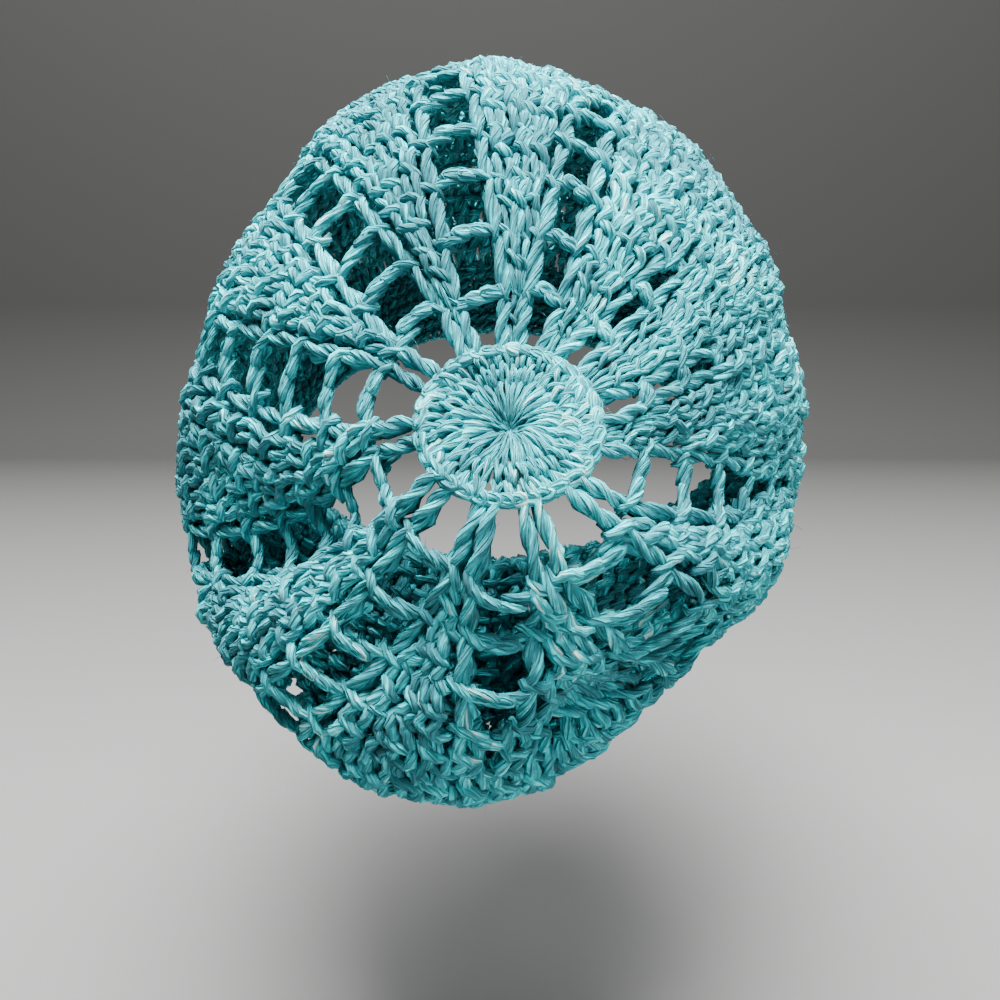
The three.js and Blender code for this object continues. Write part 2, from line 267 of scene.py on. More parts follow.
# Painted light and shade on each piece's yarn against the middle: the disc at the top lighter, the band
# darker
DISC_PAINTED_LIGHT = 0.05
BAND_PAINTED_SHADE = -0.02

# Camera and stage, in metres and degrees
CAMERA_PLACE = (0.0, -0.326, 0.100)
CAMERA_PITCH = 19.0
FOCAL_PIXELS = 1030.0
FRAME_PIXELS = 1000.0
SENSOR_WIDTH = 36.0
FLOOR_BELOW = 0.165
WALL_PLACE = 0.68
WALL_HEIGHT = 3.0
WALL_FOOT = 0.12
FOOT_SEGMENTS = 16
# Where the painted shade on the floor starts, darkening towards the wall
PAINTED_SHADE_FROM = 0.05
FLOOR_ROUGHNESS = 0.9
FLOOR_SPECULAR = 0.1
SKY_COLOUR = (0.92, 0.96, 1.0, 1.0)
LIGHT_AIM = Vector((0.0, -0.05, 0.05))
# Soft lights: name, place, size and the setting that holds the power
LIGHTS = (
    ("ceiling_light", (-0.1, 0.05, 1.45), 1.2, "ceiling_power"),
    ("key_light", (-0.04, -0.06, 1.1), 0.8, "key_power"),
    ("fill_light", (0.38, -0.60, 0.08), 0.4, "fill_power"),
)
NEAR_CLIP = 0.01


# The carrier surface


def unit(v):
    return v / np.linalg.norm(v, axis=-1, keepdims=True)


def smooth(t):
    t = np.clip(t, 0.0, 1.0)
    return t * t * (3.0 - 2.0 * t)


def around(name, u):
    """A ladder column between the ladders, on a closed smooth curve."""
    values = LADDER_ROWS[:, LADDER_COLUMNS.index(name)]
    turn = FULL_TURN.get(name, 0.0)
    first = np.floor(u).astype(int)
    f = u - first

    def at(k):
        return values[k % LADDERS] + turn * (k // LADDERS)

    a, b, c, d = at(first - 1), at(first), at(first + 1), at(first + 2)
    curve = 2 * a - 5 * b + 4 * c - d + f * (3 * (b - c) + d - a)
    return b + 0.5 * f * (c - a + f * curve)


def crown_radius(direction):
    return 1.0 / np.linalg.norm(direction / CROWN_HALF, axis=-1)


def meridian_knots(u):
    """Knots of the lines down the hat, from the disc's middle to the edge of the band."""
    puff = LADDER_ROWS[np.floor(u).astype(int) % LADDERS, LADDER_COLUMNS.index("puff")]
    puff = (puff * np.sin(math.pi * (u - np.floor(u))) ** 2)[:, None]
    shoulder = np.stack([around(name, u) for name in ("sx", "sy", "sz")], -1)
    hem = np.stack([around(name, u) for name in ("hx", "hy", "hz")], -1)
    shoulder = shoulder + unit(shoulder - PUFF_FROM) * puff
    hem = hem + unit(hem - PUFF_FROM) * puff
    slouch = np.clip(around("slouch", u), 0.0, 1.0)[:, None]

    bearing = np.radians(around("bearing", u))[:, None]
    outward = np.cos(bearing) * DISC_RIGHT + np.sin(bearing) * DISC_RISE
    edge = POLE + outward * DISC_RADIUS
    knots = [np.repeat(POLE[None], len(u), 0), POLE + outward * DISC_RADIUS / 2, edge]

    face = unit((edge + shoulder) / 2 - FACE_FROM)
    push = face * around("bulge", u)[:, None] + UP * around("sag", u)[:, None]
    for v in BULGE_SHARES:
        knots.append(edge + (shoulder - edge) * v + push * 4 * v * (1 - v))
    shoulder_knot = len(knots)
    knots.append(shoulder)

    start, stop = shoulder - CROWN_CENTRE, hem - CROWN_CENTRE
    start_share = np.linalg.norm(start, axis=-1) / crown_radius(unit(start))
    stop_share = np.linalg.norm(stop, axis=-1) / crown_radius(unit(stop))
    start, stop = unit(start), unit(stop)
    angle = np.arccos(np.clip((start * stop).sum(-1), -1, 1))[:, None] + TINY
    for k in range(1, CROWN_KNOTS + 1):
        v = k / (CROWN_KNOTS + 1)
        direction = unit(np.sin((1 - v) * angle) * start + np.sin(v * angle) * stop)
        share = stop_share + (start_share - stop_share) * (1 - v) ** 3
        knots.append(CROWN_CENTRE + direction * (crown_radius(direction) * share)[:, None])
    hem_knot = len(knots)
    knots.append(hem)

    rim_bearing = np.radians(around("rim", u))
    rim_out = np.stack([np.cos(rim_bearing), np.sin(rim_bearing), np.sin(rim_bearing)], -1)
    rim = rim_out * RIM_HALF
    turn_height = rim[:, 2] + BAND_HEIGHT
    pouch_heights = (hem[:, 2] + FOLD_LIFT, turn_height - BAND_TURN, turn_height, turn_height - BAND_TURN)
    for pouch_share, plain_share, height in zip(POUCH_SHARES, PLAIN_SHARES, pouch_heights):
        pouch = hem + (rim - hem) * pouch_share
        pouch[:, 2] = height
        plain = hem + (rim - hem) * plain_share
        knots.append(plain + (pouch - plain) * slouch)
    knots.append(rim)
    return np.stack(knots, 1), shoulder_knot, hem_knot


def spline_points(knots, samples):
    """Points on the centripetal Catmull-Rom curves through knots, and each one's place among the knots."""
    first = 2 * knots[:, :1] - knots[:, 1:2]
    last = 2 * knots[:, -1:] - knots[:, -2:-1]
    knots = np.concatenate([first, knots, last], 1)
    gaps = np.sqrt(np.linalg.norm(np.diff(knots, axis=1), axis=-1)) + TINY
    times = np.concatenate([np.zeros((len(knots), 1)), np.cumsum(gaps, 1)], 1)
    segments = knots.shape[1] - 3
    place = np.linspace(0, segments, samples)
    i = np.minimum(place.astype(int), segments - 1)
    t0, t1, t2, t3 = (times[:, i + k] for k in range(4))
    p0, p1, p2, p3 = (knots[:, i + k] for k in range(4))
    t = t1 + (t2 - t1) * (place - i)[None, :]

    def mix(a, b, ta, tb):
        weight = ((t - ta) / (tb - ta))[..., None]
        return a * (1 - weight) + b * weight

    a1, a2, a3 = mix(p0, p1, t0, t1), mix(p1, p2, t1, t2), mix(p2, p3, t2, t3)
    return mix(mix(a1, a2, t0, t2), mix(a2, a3, t1, t3), t1, t2), place


def arc_lengths(points):
    steps = np.linalg.norm(np.diff(points, axis=1), axis=-1)
    return np.concatenate([np.zeros((len(points), 1)), np.cumsum(steps, 1)], 1)


def ease(points):
    """Rounds the kinks of evenly spaced lines; their two ends stay."""
    count = points.shape[1]
    total = np.zeros_like(points)
    for shift in range(-EASE_REACH, EASE_REACH + 1):
        j = np.arange(count) + shift
        moved = points[:, np.clip(j, 0, count - 1)].copy()
        low, high = j < 0, j > count - 1
        moved[:, low] = 2 * points[:, :1] - points[:, -j[low]]
        moved[:, high] = 2 * points[:, -1:] - points[:, 2 * (count - 1) - j[high]]
        total += moved
    return total / (2 * EASE_REACH + 1)


def along(lines, arcs, wanted):
    """Points of each line at the wanted arc lengths."""
    return np.stack([
        np.stack([np.interp(w, a, line[:, axis]) for axis in range(3)], -1)
        for line, a, w in zip(lines, arcs, wanted)
    ])


def grid_normals(points):
    across = np.roll(points, -1, 0) - np.roll(points, 1, 0)
    down = np.gradient(points, axis=1)
    normals = np.cross(down, across)
    normals[:, 0] = DISC_NORMAL
    return unit(normals)


def fold_depth(u, n):
    depth = np.zeros(np.broadcast(u, n).shape)
    for row in FOLD_ROWS:
        fold = dict(zip(FOLD_COLUMNS, row))
        du = (u - fold["u"] + LADDERS / 2) % LADDERS - LADDERS / 2
        width = np.where(du < 0, fold["before"], fold["after"])
        depth += fold["depth"] * np.exp(-((du / width) ** 2) - ((n - fold["n"]) / fold["rounds"]) ** 2)
    return depth


def carrier():
    """The middle of the fabric on a close grid of ladder places and rounds, with its outward normals."""
    u = np.arange(LADDERS * U_STEPS) / U_STEPS
    knots, shoulder_knot, hem_knot = meridian_knots(u)
    raw, place = spline_points(knots, SAMPLES)
    arcs = arc_lengths(raw)
    totals = arcs[:, -1]
    shoulder_share = np.array([np.interp(shoulder_knot, place, a) for a in arcs]) / totals
    hem_share = np.array([np.interp(hem_knot, place, a) for a in arcs]) / totals
    lines = along(raw, arcs, np.linspace(0, 1, SAMPLES)[None] * totals[:, None])
    for _ in range(EASE_PASSES):
        lines = ease(lines)
    arcs = arc_lengths(lines)
    totals = arcs[:, -1]
    n = np.arange(ROUNDS * N_STEPS + 1) / N_STEPS
    s_round, h_round, first = around("s_round", u), around("h_round", u), around("first", u)
    wanted = np.stack([
        np.interp(
            n,
            [0, DISC_ROUNDS, DISC_ROUNDS + 1, s_round[k], h_round[k], ROUNDS],
            [0, DISC_RADIUS, DISC_RADIUS + first[k], shoulder_share[k] * totals[k],
             hem_share[k] * totals[k], totals[k]],
        )
        for k in range(len(u))
    ])
    points = along(lines, arcs, wanted)
    depth = fold_depth(u[:, None], n[None, :]) * smooth((h_round[:, None] - n[None, :]) / FOLD_FADE)
    points = points + grid_normals(points) * depth[..., None]
    return points, grid_normals(points)


CARRIER_POINTS, CARRIER_NORMALS = carrier()


def blended(table, u, n):
    """A table on the carrier's grid, read between its points."""
    x = (u % LADDERS) * U_STEPS
    i = np.floor(x).astype(int)
    y = np.clip(n, 0.0, ROUNDS) * N_STEPS
    j = np.minimum(np.floor(y).astype(int), table.shape[1] - 2)
    fx, fy = (x - i)[..., None], (y - j)[..., None]
    i, following = i % table.shape[0], (i + 1) % table.shape[0]
    near = table[i, j] * (1 - fx) + table[following, j] * fx
    far = table[i, j + 1] * (1 - fx) + table[following, j + 1] * fx
    return near * (1 - fy) + far * fy


def on_fabric(u, n, height):
    """Points in millimetres at ladder places u and rounds n, height millimetres out of the fabric."""
    return blended(CARRIER_POINTS, u, n) + unit(blended(CARRIER_NORMALS, u, n)) * height[..., None]


def gap_halves(n):
    """Half width of the gap in round n on every ladder, in ladder spacings."""
    grown = np.maximum(n - DISC_ROUNDS - 1, 0)
    half = np.maximum(GAP_HALF_START / (1 + GAP_NARROWING * grown), GAP_HALF_LEAST) * GAP_SHARES
    return half * (1 - (1 - GAP_SHUT_SHARES) * smooth((n - GAP_SHUT) / GAP_SHUT_REACH))


# Strands of the stitches. Points are (across in stitch widths, up in rounds, out in millimetres).

LOW_LEFT = np.array([
    (-0.18, -0.24, -1.3), (-0.34, -0.02, 0.3), (-0.33, 0.18, 1.1), (-0.20, 0.38, 0.9), (-0.08, 0.54, -0.9),
])
LOW_RIGHT = np.array([
    (0.10, -0.24, -1.4), (0.12, -0.02, 0.2), (0.22, 0.20, 1.0), (0.32, 0.42, 0.9), (0.30, 0.60, -0.8),
])
WRAP = np.array([
    (-0.50, 0.36, -1.1), (-0.38, 0.43, 0.8), (-0.06, 0.53, 1.7), (0.28, 0.63, 1.4), (0.48, 0.70, -0.8),
])
HIGH_LEFT = np.array([
    (0.02, 0.48, -1.0), (-0.12, 0.62, 0.7), (-0.24, 0.78, 1.3), (-0.28, 0.94, 0.7), (-0.20, 1.08, -0.9),
])
HIGH_RIGHT = np.array([
    (0.34, 0.54, -1.0), (0.32, 0.68, 0.6), (0.22, 0.86, 1.3), (0.16, 1.02, 0.7), (0.22, 1.14, -0.9),
])
FRONT_LOOP = np.array([
    (-0.54, 0.84, -1.2), (-0.36, 0.91, 0.3), (-0.02, 1.00, 1.2), (0.34, 1.08, 1.1), (0.56, 1.12, 0.0),
    (0.60, 1.12, -1.2),
])
BACK_LOOP = np.array([(-0.5, 0.98, -1.2), (-0.1, 1.02, -1.6), (0.3, 1.05, -1.6), (0.6, 1.05, -1.0)])
BACK_STRAND = np.array([
    (-0.20, -0.05, -1.0), (-0.20, 0.20, -1.6), (0.05, 0.50, -1.8), (0.20, 0.80, -1.6), (0.10, 1.00, -0.9),
])
BACK_BAR = np.array([(-0.5, 0.40, -1.3), (-0.15, 0.46, -2.1), (0.25, 0.50, -2.1), (0.5, 0.50, -1.3)])
# Stitches of the disc's ring, whose up is the round itself, from 0 in the middle
RING_LEFT = np.array([
    (-0.25, 0.17, -2.8), (-0.25, 0.26, -0.9), (-0.25, 0.48, 0.6), (-0.27, 0.76, 1.2), (-0.32, 1.02, 0.7),
    (-0.34, 1.20, -0.8),
])
RING_RIGHT = np.array([
    (0.25, 0.17, -3.0), (0.25, 0.28, -1.1), (0.24, 0.52, 0.4), (0.21, 0.82, 1.0), (0.20, 1.10, 0.6),
    (0.22, 1.30, -0.8),
])
HEAD_LEFT = np.array([
    (-0.48, 0.94, -0.9), (-0.42, 1.08, 0.8), (-0.18, 1.28, 1.6), (0.06, 1.46, 0.9), (0.12, 1.58, -0.8),
])
HEAD_RIGHT = np.array([
    (0.30, 1.02, -0.9), (0.40, 1.14, 0.7), (0.34, 1.34, 1.3), (0.20, 1.52, 0.8), (0.14, 1.66, -0.8),
])
EDGE_LEFT = np.array([
    (-0.42, 1.44, -0.9), (-0.34, 1.56, 0.7), (-0.08, 1.74, 1.4), (0.16, 1.90, 0.6), (0.20, 1.98, -0.8),
])
EDGE_RIGHT = np.array([
    (0.24, 1.50, -0.9), (0.38, 1.60, 0.6), (0.40, 1.76, 1.1), (0.30, 1.90, 0.5), (0.24, 1.98, -0.8),
])
RING_UNDER = np.array([(0.0, 0.02, -3.2), (0.0, 0.4, -1.8), (0.0, 0.9, -0.9), (0.0, 1.4, -1.0)])
HEAD_UNDER = np.array([(-0.10, 1.0, -0.9), (0.0, 1.3, -1.0), (0.1, 1.7, -0.9), (0.2, 2.0, -0.8)])
# Links: across in stitch widths, spread from -1 to 1, and lift in millimetres
LINK = np.array([
    (-0.85, -0.25, -0.9), (-0.45, -0.65, -0.1), (0.10, -1.00, 0.5), (0.55, -0.80, 0.7), (0.76, 0.0, 0.6),
    (0.55, 0.80, 0.7), (0.10, 1.00, 0.5), (-0.45, 0.65, -0.1), (-0.85, 0.25, -0.9),
])
SHORT_LEFT = np.array([(-0.34, -0.25, -1.2), (-0.36, 0.10, 0.5), (-0.18, 0.60, 1.1), (-0.02, 1.05, -0.4)])
SHORT_RIGHT = np.array([(0.26, -0.25, -1.2), (0.32, 0.10, 0.4), (0.26, 0.60, 0.9), (0.14, 1.05, -0.4)])
SHORT_LOOP = np.array([(-0.5, 0.80, -1.0), (-0.2, 0.95, 0.8), (0.3, 1.10, 0.8), (0.6, 1.15, -1.0)])
SHORT_BACK = np.array([(-0.5, 0.3, -0.9), (-0.1, 0.4, -1.6), (0.2, 0.7, -1.6), (0.5, 0.8, -0.9)])


def spline_weights(count, samples):
    """Weights that turn count control points into samples points on a Catmull-Rom curve."""
    weights = np.zeros((samples, count))
    for row, place in enumerate(np.linspace(0, count - 1, samples)):
        i = min(int(place), count - 2)
        f = place - i
        parts = (
            0.5 * (-f + 2 * f**2 - f**3),
            0.5 * (2 - 5 * f**2 + 3 * f**3),
            0.5 * (f + 4 * f**2 - 3 * f**3),
            0.5 * (-(f**2) + f**3),
        )
        for shift, part in zip(range(-1, 3), parts):
            k = i + shift
            if k < 0:
                weights[row, 0] += 2 * part
                weights[row, 1] -= part
            elif k > count - 1:
                weights[row, count - 1] += 2 * part
                weights[row, count - 2] -= part
            else:
                weights[row, k] += part
    return weights


def carried_sides(tangents):
    """Two directions across each path at every ring, carried along it without turning."""
    side = np.empty_like(tangents)
    side[:, 0] = unit(np.cross(tangents[:, 0], SIDE_FROM))
    for ring in range(1, tangents.shape[1]):
        carried = side[:, ring - 1]
        carried = carried - tangents[:, ring] * (carried * tangents[:, ring]).sum(-1, keepdims=True)
        side[:, ring] = unit(carried)
    return side, np.cross(tangents, side)


def strand_map(start, sides):
    """Map corners of the faces between the rings: round the strand from 0 to 1, along it in millimetres."""
    low_u = np.broadcast_to(np.arange(sides) / sides, (len(start), start.shape[1] - 1, sides))
    high_u = low_u + 1 / sides
    low_v = np.broadcast_to(start[:, :-1, None], low_u.shape)
    high_v = np.broadcast_to(start[:, 1:, None], low_u.shape)
    corners = ((low_u, low_v), (high_u, low_v), (high_u, high_v), (low_u, high_v))
    return np.stack([np.stack(corner, -1) for corner in corners], -2).reshape(-1, 2)


class Yarn:
    """Strands gathered for one piece, then made into one mesh of closed tubes."""

    def __init__(self, name, settings, seed):
        self.name = name
        self.settings = settings
        self.random = np.random.default_rng(settings.seed + seed)
        self.parts = []
        self.vertex_count = 0

    def add(self, paths, heights, radius, sides, tones):
        """Tubes along paths (strands, rings, 3) in millimetres, with radius at every ring."""
        strands, rings, _ = paths.shape
        taper = self.settings.end_taper
        radius = radius * (taper + (1 - taper) * np.sin(math.pi * np.linspace(0, 1, rings)) ** 0.5)
        side, other = carried_sides(unit(np.gradient(paths, axis=1) + TINY * MM))
        run = arc_lengths(paths)
        twist = run / self.settings.twist_length * 2 * math.pi
        twist = twist + self.random.uniform(0, 2 * math.pi, (strands, 1))
        angle = twist[..., None] + np.arange(sides) / sides * 2 * math.pi
        ply_depth = self.settings.ply_depth
        reach = radius[..., None] * np.where(np.arange(sides) % 2 == 0, 1 + ply_depth, 1 - ply_depth)
        tubes = paths[:, :, None] + (
            side[:, :, None] * (np.cos(angle) * reach)[..., None]
            + other[:, :, None] * (np.sin(angle) * reach)[..., None]
        )
        start = run + self.random.uniform(0, MAP_START, (strands, 1))
        count = strands * rings * sides
        index = self.vertex_count + np.arange(count).reshape(strands, rings, sides)
        ahead = np.roll(index, -1, 2)
        caps = np.concatenate([index[:, 0, ::-1], index[:, -1]])
        cap_map = np.zeros((caps.size, 2))
        cap_map[:, 1] = np.repeat(np.concatenate([start[:, 0], start[:, -1]]), sides)
        self.parts.append({
            "tubes": tubes,
            "heights": heights,
            "quads": np.stack([index[:, :-1], ahead[:, :-1], ahead[:, 1:], index[:, 1:]], -1).reshape(-1, 4),
            "quad_map": strand_map(start, sides),
            "caps": caps,
            "cap_map": cap_map,
            "tone": np.repeat(np.broadcast_to(tones[:, None], (strands, rings)).reshape(-1), sides),
            # Painted shade: each ring's height out of the fabric, which the yarn material paints darker the
            # lower it lies
            "depth": np.repeat(heights.reshape(-1), sides),
        })
        self.vertex_count += count

    def add_fuzz(self, count):
        """Loose fibres that stand out of the strands already laid."""
        shares = np.array([part["heights"].size for part in self.parts], float)
        picks = self.random.choice(len(self.parts), count, p=shares / shares.sum())
        roots, outs = [], []
        for pick in picks:
            part = self.parts[pick]
            strands, rings, sides, _ = part["tubes"].shape
            strand, ring, side = self.random.integers((strands, rings, sides))
            if part["heights"][strand, ring] < FUZZ_FROM:
                continue
            corners = part["tubes"][strand, ring]
            roots.append(corners[side])
            outs.append(corners[side] - corners.mean(0))
        roots, outs = np.array(roots), unit(np.array(outs))
        aside = unit(np.cross(outs, self.random.normal(0, 1, outs.shape)))
        curl = unit(np.cross(outs, aside) + self.random.normal(0, FUZZ_CURL, outs.shape))
        length = self.random.uniform(*FUZZ_LENGTHS, (len(roots), 1))
        points = [roots - outs * FUZZ_ROOT]
        for out_share, aside_share, curl_share in FUZZ_POINTS:
            points.append(roots + (outs * out_share + aside * aside_share + curl * curl_share) * length)
        points = np.stack(points, 1)
        # Painted shade: every fibre counts as lying at one height
        heights = np.full(points.shape[:2], FUZZ_SHADE)
        radius = np.full(points.shape[:2], FUZZ_RADIUS)
        self.add(points, heights, radius, FUZZ_SIDES, self.random.uniform(*FUZZ_TONES, len(roots)))

    def build(self, material, node):
        """The piece's object, riding on the hat's body in place of its node."""
        points = np.concatenate([part["tubes"].reshape(-1, 3) for part in self.parts]) * MM
        loops, places, totals = [], [], []
        for part in self.parts:
            for faces, face_map in (("quads", "quad_map"), ("caps", "cap_map")):
                loops.append(part[faces].reshape(-1))
                places.append(part[face_map])
                totals.append(np.full(len(part[faces]), part[faces].shape[1]))
        loops, places, totals = np.concatenate(loops), np.concatenate(places), np.concatenate(totals)
        mesh = bpy.data.meshes.new(self.name)
        mesh.vertices.add(len(points))
        mesh.vertices.foreach_set("co", points.reshape(-1))
        mesh.loops.add(len(loops))
        mesh.loops.foreach_set("vertex_index", loops)
        mesh.polygons.add(len(totals))
        mesh.polygons.foreach_set("loop_start", np.concatenate([[0], np.cumsum(totals)[:-1]]))
        mesh.update(calc_edges=True)
        mesh.polygons.foreach_set("use_smooth", np.ones(len(totals), bool))
        layer = mesh.uv_layers.new(name="yarn")
        layer.data.foreach_set("uv", (places * (1.0, self.settings.map_per_mm)).reshape(-1))
        # The depth attribute carries the heights for the painted shade; tone is the yarn's own change of
        # colour
        for name in ("tone", "depth"):
            values = np.concatenate([part[name] for part in self.parts]).astype(np.float32)
            mesh.attributes.new(name, "FLOAT", "POINT").data.foreach_set("value", values)
        mesh.materials.append(material)
        piece = bpy.data.objects.new(self.name, mesh)
        bpy.context.collection.objects.link(piece)
        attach(piece, "root")
        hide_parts(node)
        print(f"{self.name}: {int((totals - 2).sum())} triangles")


def round_tones(yarn, n, u):
    """Slow change of colour along the yarn, with each stitch a little its own."""
    wave = sum(np.sin(u * by_ladder + n * by_round + start) for by_ladder, by_round, start in TONE_WAVES)
    wave = wave / len(TONE_WAVES) * yarn.settings.tone_wave
    return wave + yarn.random.normal(0, yarn.settings.tone_spread, np.shape(u))


def strand_tones(yarn, stitches):
    return stitches["tone"] + yarn.random.normal(0, STRAND_TONE_SPREAD, len(stitches["n"]))


def uneven(yarn, template, count, spread):
    """A template's points for each of count strands, every point moved a little."""
    points = np.repeat(template[None], count, 0)
    return points + yarn.random.normal(0, 1, points.shape) * (spread * yarn.settings.unevenness)


def stitch_room(u, n, width, out):
    """Millimetres that a stitch width measures at each place."""
    return np.linalg.norm(on_fabric(u + width / 2, n, out) - on_fabric(u - width / 2, n, out), axis=-1)


def stitch_places(stitches, across, up):
    """Ladder places and rounds of points given across and up their stitches, with the stitch widths there."""
    risen = np.clip(up, 0, 1)
    width = stitches["base_width"][:, None] * (1 - risen) + stitches["top_width"][:, None] * risen
    middle = stitches["base"][:, None] * (1 - risen) + stitches["top"][:, None] * risen
    n = stitches["n"][:, None] - stitches["height"][:, None] * (1 - up)
    return middle + across * width, n, width


def lay_strands(yarn, template, stitches, fineness, thickness=1.0, inside=False):
    """Strands of one template in every stitch: across, up and out become a place on the fabric."""
    settings = yarn.settings
    rings, sides = fineness
    points = uneven(yarn, template, len(stitches["n"]), STRAND_SPREAD)
    points[:, :, 0] += stitches["lean"][:, None] * (template[None, :, 1] - 0.5)
    points = np.einsum("rk,skc->src", spline_weights(len(template), rings), points)
    u, n, width = stitch_places(stitches, points[..., 0], points[..., 1])
    out = points[..., 2] * settings.relief + stitches["out"][:, None]
    paths = on_fabric(u, n, out)
    room = stitch_room(u, n, width, out)
    fit = np.clip(room / (settings.stitch_room / MM), stitches["least"], FIT_MOST)
    radius = settings.yarn_radius / MM * thickness * stitches["thickness"][:, None] * fit
    # Heights for the painted shade: the strands inside count as lying at one given height
    heights = np.full(out.shape, settings.inside_height) if inside else out
    yarn.add(paths, heights, radius, sides, strand_tones(yarn, stitches))


def lay_ropes(yarn, stitches, turns):
    """Posts beside a gap: two strands wound about each other from the foot of a stitch to its top."""
    settings = yarn.settings
    rings, sides = ROPE_STRAND
    foot, top = ROPE_UP
    count = len(stitches["n"])
    up = np.repeat(np.linspace(foot, top, rings)[None], count, 0)
    start = yarn.random.uniform(0, 2 * math.pi, (count, 1))
    reach = settings.yarn_radius / MM * settings.rope_reach
    u, n, width = stitch_places(stitches, np.zeros_like(up), up)
    room = stitch_room(u, n, width, np.zeros_like(up))
    sunk = ROPE_SINK * (2 * np.abs((up - foot) / (top - foot) - 0.5)) ** 4
    for half_turn in (0.0, math.pi):
        angle = start + half_turn + up * turns * 2 * math.pi
        across = reach * np.cos(angle) / room
        out = ROPE_OUT + reach * np.sin(angle) - sunk + stitches["out"][:, None]
        paths = on_fabric(u + across * width, n, out)
        radius = settings.yarn_radius / MM * ROPE_THICKNESS * stitches["thickness"][:, None]
        # Posts count as lying higher for the painted shade and the loose fibres
        yarn.add(paths, out + ROPE_SHADE, radius * np.ones((1, rings)), sides, strand_tones(yarn, stitches))


def lay_links(yarn, places, rounds, widths, spread, bow, fineness, tones, span=None):
    """Links of chain, each centred on a place. bow lifts them, in rounds. span holds the middle and the half
    width of each link's whole chain, whose ends sink."""
    settings = yarn.settings
    spread_up, spread_out, out = spread
    rings, sides = fineness
    flat = np.zeros(len(places))
    spacing = on_fabric(places + U_MEASURE, rounds, flat) - on_fabric(places - U_MEASURE, rounds, flat)
    spacing = np.linalg.norm(spacing, axis=-1) / (2 * U_MEASURE)
    widths = np.maximum(widths, settings.least_link / MM / spacing)
    points = uneven(yarn, LINK, len(places), LINK_SPREAD)
    points = np.einsum("rk,skc->src", spline_weights(len(LINK), rings), points)
    across, aside, lift = points[..., 0], points[..., 1], points[..., 2]
    u = places[:, None] + across * widths[:, None]
    after = blended(CARRIER_POINTS, places, rounds + N_MEASURE)
    rise = np.linalg.norm(after - blended(CARRIER_POINTS, places, rounds - N_MEASURE), axis=-1)
    per_mm = (2 * N_MEASURE / np.maximum(rise, 1.0))[:, None]
    n = rounds[:, None] + bow[:, None] + aside * spread_up * per_mm
    height = out + lift - aside * spread_out
    if span is not None:
        middle, half = span
        share = np.abs(u - middle[:, None]) / half[:, None]
        height = height - CHAIN_SINK * smooth((share - CHAIN_SINK_FROM) / CHAIN_SINK_REACH)
    radius = settings.yarn_radius / MM * settings.link_thickness
    # The heights carry the painted shade too, so the sunk ends of a chain are painted darker
    yarn.add(on_fabric(u, n, height), height, np.full(u.shape, radius), sides, tones)


def stitch_row(yarn, n, base, top, base_width, top_width, height=1.0):
    """Stitches of one row: ladder places and widths at their feet and tops, and what is each one's own."""
    count = len(top)
    settings = yarn.settings
    return {
        "n": np.full(count, float(n)),
        "base": base,
        "top": top,
        "base_width": np.broadcast_to(base_width, (count,)),
        "top_width": np.broadcast_to(top_width, (count,)),
        "height": np.full(count, float(height)),
        "lean": yarn.random.normal(settings.lean, LEAN_SPREAD * settings.unevenness, count),
        "out": yarn.random.normal(0, OUT_SPREAD * settings.unevenness, count),
        "thickness": yarn.random.normal(1.0, THICKNESS_SPREAD * settings.unevenness, count),
        "least": FIT_LEAST,
        "tone": round_tones(yarn, n, top),
    }


def closed_row(yarn, n, count, shift=0.0, height=1.0):
    """A row of equal stitches all the way round, moved by shift of a stitch."""
    width = LADDERS / count
    top = (np.arange(count) + 0.5 + shift) * width
    return stitch_row(yarn, n, top.copy(), top, width, width, height)


def double_stitches(yarn, stitches, fine, posts=True):
    """Legs, wrap, top loops and back of a row of double stitches, or its loops and back alone."""
    fineness = FINE_STRAND if fine else PLAIN_STRAND
    if posts:
        for template in (LOW_LEFT, LOW_RIGHT, WRAP, HIGH_LEFT, HIGH_RIGHT):
            lay_strands(yarn, template, stitches, fineness)
    lay_strands(yarn, FRONT_LOOP, stitches, fineness, LOOP_THICKNESS)
    lay_strands(yarn, BACK_LOOP, stitches, HIDDEN_STRAND, inside=True)
    for template in (BACK_STRAND, BACK_BAR) if posts else (BACK_STRAND,):
        lay_strands(yarn, template, stitches, HIDDEN_STRAND, BACK_THICKNESS, inside=True)


def chosen(stitches, which):
    """The stitches of a row that which picks out."""
    return {name: value[which] if np.ndim(value) else value for name, value in stitches.items()}


def gore_counts(n):
    """Stitches in every gore in round n."""
    fading = max(GORE_EXTRA_ROUNDS - (n - DISC_ROUNDS - 1), 0) / GORE_EXTRA_ROUNDS
    return np.minimum(n - 1 + np.round(GORE_EXTRA * fading).astype(int), GORE_MOST)


def gore_places(n, gore, share):
    """Ladder places at a share of a gore in round n, and the width of the gore there."""
    before = gap_halves(n)
    room = 1 - before - np.roll(before, -1)
    return gore + before[gore] + share * room[gore], room[gore]


